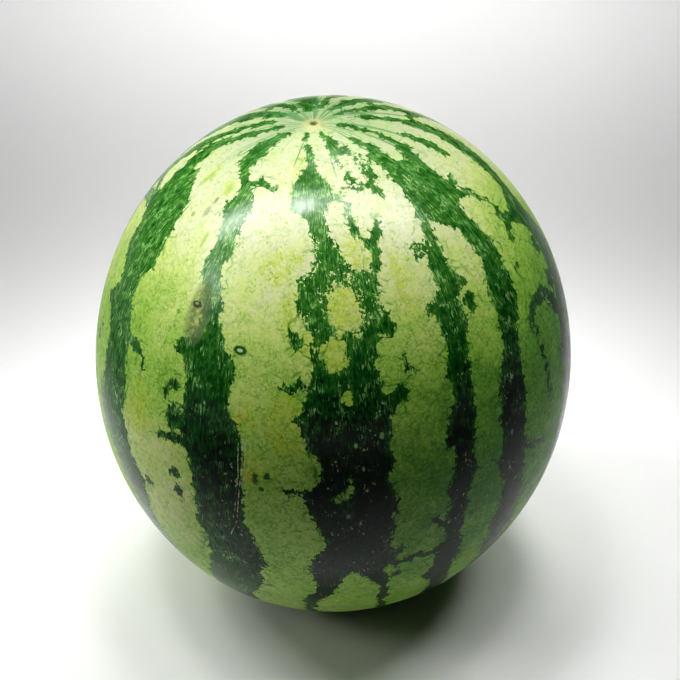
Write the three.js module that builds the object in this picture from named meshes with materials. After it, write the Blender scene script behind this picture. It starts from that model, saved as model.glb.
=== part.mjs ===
// A whole striped watermelon, picked, standing on its stem end.
//
// Millimetres, +Z up. The origin is the middle of the flat spot that the fruit rests on, and -Y is its front.
// The fruit is one solid. Its body is a slightly long spheroid with an upright axis. The axis that it grew
// along, from the stem scar below to the blossom scar above, leans a few degrees towards -X, and the rows of
// the surface run round that growth axis.
import * as THREE from "three";

// The body
const EQUATOR_RADIUS = 112; // half of the width
const POLE_RADIUS = 125.7; // half of the length, before the ends flatten
const GROWTH_LEAN = THREE.MathUtils.degToRad(3.8); // from +Z towards -X

// The resting spot: the lower end is pressed flat to this depth, and the flat's rim is rounded over
const FOOT_PRESS = 4.5;
const FOOT_RIM = 1;

// The low waves that keep a grown fruit from being a turned one: lobes round it, height and phase
const WAVES = [
  { lobes: 2, height: 0.35, phase: 0.6 },
  { lobes: 3, height: 0.3, phase: 2.1 },
  { lobes: 10, height: 0.14, phase: 0.3 },
];

// The blossom end, on top: a shallow dip with a corky ring round a small pit
const BLOSSOM_DIP_RADIUS = 17;
const BLOSSOM_DIP_DEPTH = 1.5;
const BLOSSOM_RING_RADIUS = 2.6;
const BLOSSOM_RING_HEIGHT = 0.5;
const BLOSSOM_RING_WIDTH = 1.3;

// The stem end, inside the resting spot: a deeper dip with the stub that the stem left
const STEM_DIP_RADIUS = 13.5;
const STEM_DIP_DEPTH = 4.6;
const STEM_STUB_RADIUS = 4.2;
const STEM_STUB_HEIGHT = 2;
const STEM_STUB_EDGE = 1.4;

// The surface: columns round the growth axis, rows along it, and how much the rows crowd at both ends
const COLUMNS = 64;
const ROWS = 48;
const ROW_CROWDING = 0.8;

const BODY_CENTRE = new THREE.Vector3(0, 0, POLE_RADIUS - FOOT_PRESS);

/** The sunk share of a round dip: 1 in its middle, falling smoothly to 0 at its rim. */
function dip(distance, radius) {
  const share = Math.min(distance / radius, 1);
  return (1 - share * share) ** 2;
}

/** A height above the ground with everything below it pressed flat, and the flat's rim rounded. */
function pressed(height) {
  if (height <= -FOOT_RIM) return 0;
  if (height >= FOOT_RIM) return height;
  return (height + FOOT_RIM) ** 2 / (4 * FOOT_RIM);
}

/** The direction from the body's centre at an angle from the growth axis and an azimuth round it. */
function directionAt(fromBlossom, azimuth) {
  return new THREE.Vector3(
    Math.sin(fromBlossom) * Math.sin(azimuth),
    -Math.sin(fromBlossom) * Math.cos(azimuth),
    Math.cos(fromBlossom),
  ).applyAxisAngle(new THREE.Vector3(0, 1, 0), -GROWTH_LEAN);
}

/** The distance from the centre to the spheroid in a direction. */
function spheroidRadius(direction) {
  const across = Math.hypot(direction.x, direction.y) / EQUATOR_RADIUS;
  return 1 / Math.hypot(across, direction.z / POLE_RADIUS);
}

/** How far the fruit's low waves lift its surface. They die out towards both ends. */
function waveHeight(fromBlossom, azimuth) {
  const round = WAVES.reduce(
    (sum, { lobes, height, phase }) => sum + height * Math.cos(lobes * azimuth + phase),
    0,
  );
  return round * Math.sin(fromBlossom) ** 2;
}

/** How far the blossom end is sunk, at a distance from the growth axis. */
function blossomSink(distance) {
  const ring = Math.exp(-(((distance - BLOSSOM_RING_RADIUS) / BLOSSOM_RING_WIDTH) ** 2));
  return BLOSSOM_DIP_DEPTH * dip(distance, BLOSSOM_DIP_RADIUS) - BLOSSOM_RING_HEIGHT * ring;
}

/** How far the stem end is hollowed upwards, at a distance from the growth axis. */
function stemHollow(distance) {
  const stub = THREE.MathUtils.smoothstep(
    STEM_STUB_RADIUS + STEM_STUB_EDGE - distance,
    0,
    STEM_STUB_EDGE,
  );
  return STEM_DIP_DEPTH * dip(distance, STEM_DIP_RADIUS) - STEM_STUB_HEIGHT * stub;
}

/** The point of the fruit's surface at an angle from the growth axis and an azimuth round it. */
function surfacePoint(fromBlossom, azimuth) {
  const direction = directionAt(fromBlossom, azimuth);
  const radius = spheroidRadius(direction) + waveHeight(fromBlossom, azimuth);
  const fromAxis = radius * Math.sin(fromBlossom);
  const upper = fromBlossom < Math.PI / 2;
  const point = direction
    .multiplyScalar(radius - (upper ? blossomSink(fromAxis) : 0))
    .add(BODY_CENTRE);
  point.z = pressed(point.z) + (upper ? 0 : stemHollow(fromAxis));
  return point;
}

/** The fruit's closed surface: a sphere's grid, with its rows crowded at both ends and every vertex placed. */
function fruitGeometry() {
  const geometry = new THREE.SphereGeometry(1, COLUMNS, ROWS);
  const { position, uv } = geometry.attributes;
  for (let i = 0; i < position.count; i++) {
    const along = 1 - uv.getY(i);
    const eased = along - (ROW_CROWDING * Math.sin(2 * Math.PI * along)) / (2 * Math.PI);
    const azimuth = 2 * Math.PI * uv.getX(i) - Math.PI;
    const point = surfacePoint(Math.PI * eased, azimuth);
    position.setXYZ(i, point.x, point.y, point.z);
  }
  geometry.computeVertexNormals();
  return geometry;
}

const rind = new THREE.MeshStandardMaterial({ color: 0x6f9a3f, roughness: 0.32, metalness: 0 });

const fruit = new THREE.Mesh(fruitGeometry(), rind);
fruit.name = "watermelon";

const part = new THREE.Group();
part.name = "whole_watermelon";
part.add(fruit);

export default part;
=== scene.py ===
"""The looks of a whole striped watermelon that stands on its stem end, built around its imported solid.

Lengths are metres in the row frame, unless a name ends in _mm. The fruit is charted by two growth angles in
degrees: fall, from the blossom scar on top down to the stem scar below, and turn, round the axis that it grew
along, 0 at the front (-Y) and positive towards +X.
"""

import logging
import math
from dataclasses import dataclass, field
from enum import Enum

import bpy
import numpy as np
from mathutils import Matrix, Vector


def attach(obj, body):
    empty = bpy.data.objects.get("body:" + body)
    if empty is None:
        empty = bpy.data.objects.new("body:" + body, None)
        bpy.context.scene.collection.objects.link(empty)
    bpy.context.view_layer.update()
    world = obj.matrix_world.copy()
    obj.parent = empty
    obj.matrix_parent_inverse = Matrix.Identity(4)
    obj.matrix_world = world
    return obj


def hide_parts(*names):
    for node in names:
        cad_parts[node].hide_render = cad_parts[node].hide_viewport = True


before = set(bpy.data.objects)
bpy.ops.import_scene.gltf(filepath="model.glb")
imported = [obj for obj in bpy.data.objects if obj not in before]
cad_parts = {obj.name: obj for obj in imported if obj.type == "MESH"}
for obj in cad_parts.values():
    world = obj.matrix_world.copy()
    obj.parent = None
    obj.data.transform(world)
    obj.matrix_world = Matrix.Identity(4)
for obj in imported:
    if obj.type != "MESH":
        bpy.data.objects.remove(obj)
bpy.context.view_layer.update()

LOG = logging.getLogger("watermelon")
MM = 0.001
EQUATOR_MM_PER_TURN = 1.955
MM_PER_FALL = 2.07
CHART_RADIUS_MM = 112.0
FULL_ARC_MM = 372.0
POLE_MM_PER_TURN = 0.02
NO_MARK_MM = -40.0
NO_ARM_MM = -99.0
# Added to half of an arm's width, because the ragged edge eats a thin one away.
ARM_GAIN_MM = 0.45

Array = np.ndarray
Socket = bpy.types.NodeSocket
Colour = tuple[float, float, float]
Station = tuple[float, float, float]
Point = tuple[float, float]
Span = tuple[float, float]


class Pigment(Enum):
    """The rind's colours, as linear red, green and blue. CREAM and LEAF are the lit top and MOSS the shaded
    lower side, painted light and shade that the charts mix in.
    """

    CREAM = (0.54, 0.56, 0.37)
    PALE = (0.485, 0.565, 0.205)
    OLIVE = (0.295, 0.465, 0.088)
    MOSS = (0.080, 0.240, 0.033)
    SUN = (0.43, 0.49, 0.045)
    SAP = (0.21, 0.37, 0.035)
    VEIN = (0.10, 0.25, 0.03)
    LEAF = (0.070, 0.200, 0.035)
    FOREST = (0.012, 0.092, 0.014)
    NIGHT = (0.002, 0.013, 0.005)
    STREAK = (0.26, 0.46, 0.16)
    FLECK = (0.42, 0.52, 0.30)
    SKY = (0.07, 0.19, 0.07)
    CORK = (0.130, 0.172, 0.068)
    STRAW = (0.46, 0.42, 0.18)
    AMBER = (0.46, 0.38, 0.04)
    BRUISE = (0.030, 0.034, 0.016)
    SCRATCH = (0.50, 0.47, 0.36)


class Tint(Enum):
    """What a marking multiplies the rind's colour by, as linear red, green and blue."""

    SEAM = (0.13, 0.42, 0.10)
    NET = (0.34, 0.54, 0.30)
    CROWN = (0.50, 0.61, 0.54)


class Tone(Enum):
    """Whether a mark adds dark rind or takes it away."""

    DARK = 1
    LIGHT = -1


@dataclass(frozen=True)
class Course:
    """A stripe, or a light gap in one: (fall, left turn, right turn) at stations from the top down."""

    name: str
    stations: tuple[Station, ...]
    tone: Tone = Tone.DARK

    def depth(self, chart: "Chart") -> Array:
        """How far each charted point lies inside the stripe.

        Args:
            chart: the points.

        Returns:
            Millimetres from the stripe's edge, positive inside it.
        """
        fall, left, right = np.array(self.stations, float).T
        middle = np.interp(chart.fall, fall, (left + right) / 2)
        half = np.interp(chart.fall, fall, (right - left) / 2)
        slope = np.interp(chart.fall, fall, np.gradient((left + right) / 2, fall))
        off = np.abs(wrapped(chart.turn - middle))
        across = (half - off) * chart.mm_per_turn
        across /= np.hypot(1, np.minimum(np.abs(slope) * chart.mm_per_turn / chart.mm_per_fall, 3))
        beyond = np.maximum(fall[0] - chart.fall, 0) + np.maximum(chart.fall - fall[-1], 0)
        return across - beyond * chart.mm_per_fall


@dataclass(frozen=True)
class Arm:
    """A bent arm or vein of dark rind: (turn, fall) points, with the width in millimetres at each."""

    points: tuple[Point, ...]
    widths_mm: tuple[float, ...]
    tone: Tone = Tone.DARK

    def depth(self, chart: "Chart") -> Array:
        """How far each charted point lies inside the arm.

        Args:
            chart: the points.

        Returns:
            Millimetres from the arm's edge, positive inside it.
        """
        best = np.full(chart.fall.shape, NO_ARM_MM)
        for a, b, wide_a, wide_b in zip(self.points, self.points[1:], self.widths_mm, self.widths_mm[1:]):
            middle_fall = math.radians((a[1] + b[1]) / 2)
            scale = np.array([EQUATOR_MM_PER_TURN * math.sin(middle_fall), MM_PER_FALL])
            along = (np.array(b) - np.array(a)) * scale
            to_x = wrapped(chart.turn - a[0]) * scale[0]
            to_y = (chart.fall - a[1]) * scale[1]
            share = np.clip((to_x * along[0] + to_y * along[1]) / max(along @ along, 1e-9), 0, 1)
            apart = np.hypot(to_x - share * along[0], to_y - share * along[1])
            half = (wide_a + (wide_b - wide_a) * share) / 2 + ARM_GAIN_MM
            best = np.maximum(best, half - apart)
        return best


@dataclass(frozen=True)
class Patch:
    """An oval blot of dark rind, or a light island in it: its middle, and its half sizes in millimetres."""

    turn: float
    fall: float
    across_mm: float
    along_mm: float
    tone: Tone = Tone.DARK
    tilt: float = 0.0

    def depth(self, chart: "Chart") -> Array:
        """How far each charted point lies inside the patch.

        Args:
            chart: the points.

        Returns:
            Millimetres from the patch's edge, positive inside it.
        """
        mm_per_turn = EQUATOR_MM_PER_TURN * math.sin(math.radians(self.fall))
        x = wrapped(chart.turn - self.turn) * mm_per_turn
        y = (chart.fall - self.fall) * MM_PER_FALL
        c = math.cos(math.radians(self.tilt))
        s = math.sin(math.radians(self.tilt))
        reach = np.hypot((x * c + y * s) / self.across_mm, (y * c - x * s) / self.along_mm)
        return (1 - reach) * min(self.across_mm, self.along_mm)


def chart_point(turn: float, fall: float) -> tuple[float, float, float]:
    """A place on the growth chart, from its turn and fall in degrees."""
    angle = math.radians(turn)
    return CHART_RADIUS_MM * math.cos(angle), CHART_RADIUS_MM * math.sin(angle), fall / 180 * FULL_ARC_MM


def wrapped(degrees: Array) -> Array:
    """Brings an angle difference to between -180 and 180 degrees."""
    return (degrees + 180) % 360 - 180


def smoothstep(value: Array, low: float, high: float) -> Array:
    """Rises smoothly from 0 at low to 1 at high."""
    share = np.clip((value - low) / (high - low), 0, 1)
    return share * share * (3 - 2 * share)


def window(value: Array, rise: Span, drop: Span) -> Array:
    """Rises smoothly from 0 to 1 over one span of values, and drops back to 0 over a later one."""
    return smoothstep(value, *rise) * (1 - smoothstep(value, *drop))


def soft_union(a: Array, b: Array, blend_mm: float) -> Array:
    """The larger of two depths, with the corner between them rounded.

    Args:
        a: one depth in millimetres.
        b: the other.
        blend_mm: how wide the rounding is.

    Returns:
        The joined depth in millimetres.
    """
    near = np.clip(0.5 + (a - b) / (2 * blend_mm), 0, 1)
    return b + (a - b) * near + blend_mm * near * (1 - near)


@dataclass(frozen=True)
class Chart:
    """Where surface points lie in growth angles, in degrees."""

    fall: Array
    turn: Array

    @property
    def mm_per_turn(self) -> Array:
        """Millimetres round the fruit for a degree of turn, at each point."""
        return EQUATOR_MM_PER_TURN * np.sin(np.radians(self.fall)) + POLE_MM_PER_TURN

    @property
    def mm_per_fall(self) -> float:
        """Millimetres along the fruit for a degree of fall."""
        return MM_PER_FALL


FRONT_STRIPES = (
    Course("far_left", (
        (31, -94, -64), (35, -90, -62), (40, -89, -61), (43, -84, -60), (45, -82, -59), (48, -81, -61.5),
        (50, -78, -63), (52, -74, -63), (55, -72.5, -61.5), (58, -76, -60), (60, -77, -58.5),
        (62, -71.5, -57.5),
        (65, -68.6, -57.3), (70, -68, -56.4), (75, -67, -55.2), (80, -70, -56.7), (85, -70, -54.3),
        (90, -68, -53.4), (95, -63, -50), (100, -61, -50), (106, -58, -51), (115, -60, -50), (130, -60, -52),
        (150, -62, -52), (168, -64, -50))),
    Course("left_shoulder", (
        (6, -90, -80), (9, -89, -82), (12, -90, -84), (14, -92, -86), (18, -97, -90), (22, -101, -89),
        (25, -98, -86), (28, -95, -82), (30, -93, -76), (32, -92, -72))),
    Course("left", (
        (6, -62, -54), (8, -66, -51.5), (11, -66, -49.5), (13, -64, -48), (15, -62.5, -48), (17, -61, -47),
        (18.5, -56, -45.5), (19.5, -50, -43), (21, -45.5, -37.5), (23, -43, -34), (25, -43.5, -31),
        (27, -44, -30.5), (29, -42, -31), (31, -40, -31.7), (33, -38, -31), (36, -38.2, -31),
        (40, -39.3, -32.3),
        (43, -37.5, -30.5), (45, -34, -29.3), (50, -33.5, -28), (52, -34, -27), (54.5, -36, -25.5),
        (56, -40, -23.8), (58, -40.5, -22.8), (59.5, -36, -22), (62, -35, -22.4), (65, -34.2, -22.9),
        (67, -34.5, -23), (70, -35, -21.5), (72, -34.5, -20.5), (75, -35.5, -20), (78, -35, -20),
        (80, -33.6, -20), (85, -32, -20), (90, -32, -20), (95, -32, -20.5), (98, -33, -20), (100, -32, -19.3),
        (105, -31, -18), (108, -31.8, -17.5), (110, -32, -16.8), (112, -32.7, -19), (115, -34, -19.6),
        (120, -36, -20.8), (125, -38.7, -24.4), (130, -41, -28), (140, -44, -30), (155, -46, -32),
        (169, -48, -36))),
    Course("middle", (
        (4, -20, -16), (5, -18.5, -15), (6.7, -13, -9.5), (8.5, -10, -6.5), (10, -6, -2.5), (12, -5, -1.8),
        (14, -5.2, -0.8), (16, -7.9, 2.4), (18, -10.5, 6), (20, -11.4, 8.2), (22, -13, 9), (24, -12, 5.5),
        (25.5, -8, 5), (27, -2.5, 5), (29, -2, 4.2), (31, -1, 4.6), (33, -1, 6.4), (35, -1.4, 8.4),
        (37, -1.8, 10), (38.5, -3, 12), (40, -5.4, 18.7), (42, -5.6, 18), (45, -6, 17.6), (48, -4.8, 18.4),
        (50, -2.6, 19.2), (51.5, -1.9, 19.8), (53, -1.7, 20), (54, -1.7, 14), (56, -1.9, 13.4),
        (58, -1.9, 13),
        (60, -3.3, 14), (62, -3.8, 14.2), (65, -4.4, 18.9), (66.5, -4.8, 18), (68, -5, 16), (70, -5.3, 14.7),
        (72, -5, 14), (75, -4.2, 13.8), (77, -2.5, 14), (80, -1.2, 14.7), (83, -2, 13.2), (85, -3.9, 13.2),
        (87, -5.6, 13.2), (90, -5.3, 14.7), (95, -3.6, 14), (100, -2, 13), (103, -2.4, 12.6),
        (106, -5.3, 13.2), (108, -6, 14), (110, -6.5, 12.4), (112, -6.3, 11.2), (116, -6, 11.5),
        (118, -5.8, 11.8), (120, -6.2, 12), (123, -8, 12.3), (126, -10.5, 12.5), (130, -11, 12.3),
        (135, -12.4, 13), (145, -14, 14), (156, -15, 14), (169, -16, 12))),
    Course("middle_lower_gap", (
        (112.5, 2.5, 4), (114, 1, 6), (116, 0.3, 7.2), (118, -0.6, 8), (120, -1.2, 10), (123, -3, 10.3),
        (126, -6.5, 10.5), (130, -8, 10.2), (135, -10, 11), (145, -11, 11), (155, -9, 8)), Tone.LIGHT),
    Course("right_top", (
        (4, 17, 24), (6.5, 16, 27), (8, 16.5, 30), (10, 17.5, 31), (11.5, 20, 30.5), (12.8, 22.5, 29.5))),
    Course("right_crown", (
        (10, 46, 50), (12, 48, 53.5), (14, 49.5, 56.5), (16, 42, 56), (18, 43.5, 55.5), (20, 44, 56),
        (21, 44, 60), (22, 44, 66), (23, 44, 68), (25, 44, 66.5), (28, 43.5, 65.4), (30, 43, 66.5),
        (32, 42, 67.5))),
    Course("right", (
        (31, 42, 46), (34, 41, 44.5), (35, 40.6, 43.8), (37, 39.6, 42.7), (40, 36.8, 42), (43, 36, 41.7),
        (45, 35.8, 42.4), (47, 35.8, 43.6), (48.5, 34.5, 44), (50, 31, 41), (52, 31.2, 40.6), (53, 31.7, 40),
        (56, 32, 40), (59, 32, 38), (62, 31.2, 36.8), (65, 30.2, 36.5), (70, 30.8, 36), (73, 28.7, 35),
        (77, 27.8, 34.7), (80, 27.2, 34.4), (83, 28.7, 33.4), (87, 28.7, 33.8), (90, 27.2, 34),
        (92, 27, 32.6), (95, 27, 31.7), (98, 27.2, 32), (100, 26, 30.8), (105, 26.4, 30.5),
        (108, 27, 30.4), (110, 24.6, 30.8), (115, 24.6, 31.4), (119, 24, 30.8), (122, 22, 30.8),
        (125, 24.9, 30.8), (130, 26, 32), (140, 27, 33), (155, 27, 35), (169, 26, 38))),
    Course("right_outer", (
        (31, 49, 66), (33, 50, 64), (34, 50.5, 62.5), (35, 51.6, 61), (37, 52.6, 60.6), (40, 53.7, 60.3),
        (43, 53.7, 61.6), (45, 53.4, 62.4), (47, 53.2, 62), (48.5, 52.6, 60.8), (50, 51.5, 60.5),
        (53, 50.6, 60.3), (56, 50, 59.5), (59, 49.3, 58), (62, 48.5, 55), (65, 47.6, 53.5), (70, 44.9, 52.6),
        (73, 43.4, 51.8), (77, 43.1, 51.5), (80, 41.9, 50.6), (83, 42.2, 50.3), (87, 42.5, 49.7),
        (90, 40.4, 49.7), (92, 40, 49.7), (95, 41.6, 49.7), (98, 43.2, 49.4), (100, 42.2, 48.4),
        (105, 42.2, 50.4), (110, 41, 49), (115, 41, 50.6), (125, 42, 51), (140, 43, 53), (155, 44, 54),
        (169, 44, 58))),
    Course("right_shoulder", (
        (5, 70, 80), (8, 70.5, 78), (10, 71, 76.5), (12, 71.5, 75.5), (15, 70.5, 74.8), (18, 67, 73.5),
        (20, 64, 73), (22, 60, 70.5), (24, 55, 66))),
    Course("right_wisp", ((18, 82, 86), (20, 81.5, 87), (23, 82, 88), (28, 83, 86))),
    Course("far_right", (
        (8, 100, 106), (20, 101, 108), (26, 98, 108), (30, 95.5, 106), (33, 93.5, 104), (37, 92, 101),
        (40, 91.4, 98), (43, 88, 95), (45, 80, 93), (47, 77.5, 92.5), (49, 80.5, 92), (51, 82, 92),
        (54, 83, 92.5), (58, 82, 93), (61, 81, 92.5), (64, 80.5, 91), (67, 79, 90), (70, 76, 89),
        (73, 73.5, 88),
        (76, 73.5, 85), (79, 70.5, 83), (83, 71.5, 81), (86, 69, 79), (89, 69.5, 77), (93, 69, 75),
        (98, 68, 75), (105, 67, 74), (115, 66, 75), (130, 67, 77), (150, 68, 80), (169, 66, 82))),
)

FRONT_ARMS = (
    Arm(((-57.5, 62.3), (-53, 62.5), (-50.5, 63.5), (-49.5, 66)), (3.5, 2.5, 1.0, 0.7)),
    Arm(((-88, 38), (-96, 41), (-105, 44)), (7, 6, 5)),
    Arm(((-36, 78), (-39.5, 78.5), (-42, 79.3)), (4, 2.5, 1.5)),
    Arm(((9.6, 22.3), (15.4, 23), (19, 21.6), (22.5, 20.6), (24.5, 22), (31, 22)),
        (2.2, 1.2, 1.5, 2.2, 1, 0.8)),
    Arm(((22.3, 20.8), (22.7, 18.2)), (2.0, 1.2)),
    Arm(((15.8, 31), (17, 32.5), (19.8, 34)), (0.8, 1.0, 1.4)),
    Arm(((25, 30), (23, 32), (20.3, 34.8), (19.8, 37.5), (18.2, 39.6)), (0.9, 2.2, 3.0, 1.6, 1.8)),
    Arm(((15.4, 24), (14, 28), (15, 31)), (0.8, 0.5, 0.7)),
    Arm(((29, 10.3), (33, 12), (36, 14.5), (39, 16.3), (43, 16.5)), (1.6, 1.8, 1.5, 1.8, 2.4)),
    Arm(((34.5, 14.5), (34.5, 18.5)), (1.2, 0.8)),
    Arm(((38, 17), (35, 20), (31, 22), (32.5, 25)), (0.9, 1.0, 1.4, 1.2)),
    Arm(((19.5, 12), (19, 15.5)), (1.2, 0.5)),
    Arm(((-4.5, 86.5), (-7, 85.6), (-10, 85.6)), (2.5, 1.3, 0.7)),
    Arm(((12.5, 109.5), (14.5, 111.5), (17, 111.2), (19.5, 109.6), (21, 111.6), (24, 111), (26, 109)),
        (3.0, 2.6, 2.0, 1.2, 2.4, 1.6, 2.4)),
    Arm(((23, 98.5), (24.5, 101), (26.5, 103)), (0.9, 1.5, 3)),
    Arm(((-5, 60.6), (-8, 61.6), (-10, 61.4)), (2.4, 1.8, 0.8)),
    Arm(((-4, 66.8), (-6.5, 68.5)), (2.0, 0.9)),
    Arm(((76, 45.5), (80, 46.6)), (4.4, 5.0)),
    Arm(((73, 46.8), (70, 49)), (2.0, 0.9)),
    Arm(((60.5, 66.5), (61, 64.4), (65, 62.2), (70, 63), (73, 65.5), (75, 69), (77, 72.5)),
        (1.8, 3, 5.5, 6, 5.5, 7, 9)),
    Arm(((61.5, 68), (61.3, 76), (61.6, 84)), (0.9, 0.7, 0.9)),
    Arm(((66, 34), (70, 34.8), (71, 37), (74, 39.5)), (1.4, 1.2, 0.7, 1.0)),
    Arm(((67, 31), (70.5, 30.5)), (3, 1)),
    Arm(((50, 92), (53, 93.5), (57, 94.5)), (2.5, 1.6, 0.9)),
    Arm(((33.8, 50.6), (30.5, 50.4), (29.6, 51.4)), (2.5, 1.8, 0.9)),
    Arm(((-42.5, 21.5), (-34, 19.6), (-28, 20), (-24, 20.4)), (1.6, 2.2, 1.4, 0.8)),
)

FRONT_PATCHES = (
    Patch(7.0, 46.2, 6.8, 11.4, Tone.LIGHT),
    Patch(9.6, 49.6, 2.6, 4.5, Tone.LIGHT),
    Patch(3.4, 54.6, 5.6, 8.8, Tone.LIGHT),
    Patch(16.9, 57.8, 6.2, 10.6, Tone.LIGHT),
    Patch(20.6, 60, 1.1, 3.0),
    Patch(5.7, 63.9, 3.2, 4.8, Tone.LIGHT),
    Patch(15.4, 63.2, 2.8, 3.4, Tone.LIGHT),
    Patch(3.7, 86.6, 2.0, 5.6, Tone.LIGHT, 12),
    Patch(1.6, 88.4, 1.6, 2.2, Tone.LIGHT),
    Patch(18.4, 65.2, 2.4, 3.2),
    Patch(-6.4, 51.8, 2.6, 4.2),
    Patch(74, 44.6, 3.2, 6.4),
    Patch(81.6, 56, 4.2, 4.6),
    Patch(78, 63.6, 4.0, 5.6),
    Patch(-75.3, 67.3, 2.2, 1.7),
    Patch(-77, 70.6, 2.0, 1.6),
    Patch(-38.3, 65.4, 2.6, 1.9),
    Patch(-40.2, 68, 1.3, 2.2),
    Patch(-37.3, 72.4, 4.6, 5.6),
    Patch(-37.4, 87.3, 2.4, 2.8),
    Patch(-36.9, 92.6, 2.0, 3.8),
    Patch(-46.7, 94.3, 1.7, 1.2),
    Patch(-22, 73.5, 3.2, 6.6),
    Patch(42.6, 52, 3.0, 4.0),
    Patch(36, 38.4, 5.0, 4.2),
    Patch(14.8, 106.4, 1.6, 2.2),
    Patch(14.4, 116, 1.5, 2.4),
    Patch(65, 53.5, 1.3, 1.3),
    Patch(-60.5, 45, 3.0, 2.4),
)

SUN_PATCHES = (
    Patch(15.5, 35.5, 6.5, 10), Patch(7, 46, 6.5, 11), Patch(3.4, 55, 5.4, 8.5), Patch(-13.5, 37.5, 6, 7),
    Patch(-8.5, 46, 3.5, 8), Patch(25.5, 43.5, 3.2, 13), Patch(-8, 13.5, 4.0, 7), Patch(-4, 52.5, 3.4, 5),
    Patch(-68, 22.5, 2.4, 4), Patch(-50, 23, 3.0, 3), Patch(5.7, 64, 3, 4.6), Patch(-18, 69, 4, 6),
    Patch(-17, 81, 4, 8), Patch(-9, 70, 9, 14), Patch(-50, 76, 8, 14), Patch(-7, 35, 4, 4),
)

LACE_PATCHES = (
    Patch(2, 40, 9, 17), Patch(12, 39, 8, 12), Patch(-2, 47, 5, 8), Patch(14, 47, 6, 10), Patch(36, 38, 6, 5),
    Patch(40, 50, 5, 9), Patch(-46, 24, 4, 5), Patch(-30, 60, 6, 14), Patch(20, 22, 6, 4),
    Patch(34, 15, 6, 6),
)


@dataclass(frozen=True)
class Spot:
    """A small oval blemish: its middle, its half sizes, how ragged and soft its edge is, and its colour."""

    turn: float
    fall: float
    across_mm: float
    along_mm: float
    pigment: Pigment
    share: float = 0.9
    rough: float = 0.5
    soft: float = 0.2


@dataclass(frozen=True)
class Scratch:
    """A thin scratch through (turn, fall) points."""

    points: tuple[Point, ...]
    width_mm: float = 0.45
    pigment: Pigment = Pigment.SCRATCH


SPOTS = (
    Spot(-21.0, 54.7, 2.9, 2.0, Pigment.FOREST, 1.0, 0.7),
    Spot(-21.0, 54.7, 1.3, 0.8, Pigment.FLECK, 1.0, 0.4),
    Spot(-36.4, 47.7, 2.3, 1.5, Pigment.BRUISE, 0.85, 1.0),
    Spot(-36.6, 47.5, 0.9, 0.6, Pigment.FLECK, 0.5, 0.6),
    Spot(-16.6, 83.2, 1.7, 3.0, Pigment.FOREST, 0.95, 1.8),
    Spot(-16.0, 83.0, 0.5, 0.9, Pigment.OLIVE, 0.7, 0.8),
    Spot(-13.9, 82.2, 1.5, 1.8, Pigment.FOREST, 0.95, 1.6),
    Spot(-15.4, 85.6, 1.2, 1.2, Pigment.FOREST, 0.9, 1.2),
    Spot(-42.0, 50.5, 1.0, 1.1, Pigment.VEIN, 0.8, 0.6),
    Spot(-42.0, 53.7, 0.8, 0.8, Pigment.VEIN, 0.7, 0.6),
    Spot(-56.7, 31.7, 1.0, 1.3, Pigment.VEIN, 0.6, 0.6),
    Spot(-67.2, 24.5, 1.2, 4.4, Pigment.SAP, 0.6, 1.2, 0.5),
    Spot(-48.5, 23.4, 1.7, 2.8, Pigment.SAP, 0.5, 1.6, 0.5),
    Spot(-50.5, 26.7, 0.8, 1.6, Pigment.CORK, 0.7, 1.0, 0.4),
    Spot(-50.8, 29.7, 1.3, 2.6, Pigment.CORK, 0.5, 1.4, 0.6),
    Spot(-43.9, 35.0, 0.9, 3.6, Pigment.SAP, 0.65, 1.2, 0.4),
    Spot(-20.0, 69.0, 2.6, 2.2, Pigment.AMBER, 0.45, 1.0, 0.6),
    Spot(-18.2, 83.0, 2.2, 3.4, Pigment.AMBER, 0.45, 1.0, 0.6),
    Spot(6.3, 75.0, 0.8, 1.2, Pigment.STREAK, 0.8, 0.9),
    Spot(12.3, 73.6, 1.1, 1.6, Pigment.STREAK, 0.7, 0.9),
    Spot(7.5, 80.8, 0.7, 1.2, Pigment.FLECK, 0.5, 0.9),
    Spot(3.3, 93.0, 1.0, 1.4, Pigment.FLECK, 0.4, 0.9),
    Spot(13.5, 94.3, 0.8, 1.2, Pigment.STREAK, 0.7, 0.9),
)

SCRATCHES = (
    Scratch(((-19.0, 73.2), (-19.8, 82.3), (-20.8, 88.3), (-22.0, 95.5), (-24.4, 100.8))),
    Scratch(((-18.2, 72.7), (-18.8, 79.0), (-20.1, 84.0), (-21.4, 92.0))),
    Scratch(((-17.2, 74.5), (-17.9, 80.5), (-19.6, 84.5))),
    Scratch(((-20.2, 75.0), (-20.6, 83.0), (-21.9, 91.0), (-22.8, 95.0))),
    Scratch(((-20.9, 86.0), (-21.6, 90.0)), 1.4, Pigment.NIGHT),
    Scratch(((-19.4, 78.2), (-19.6, 80.2)), 2.0, Pigment.NIGHT),
)


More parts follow.
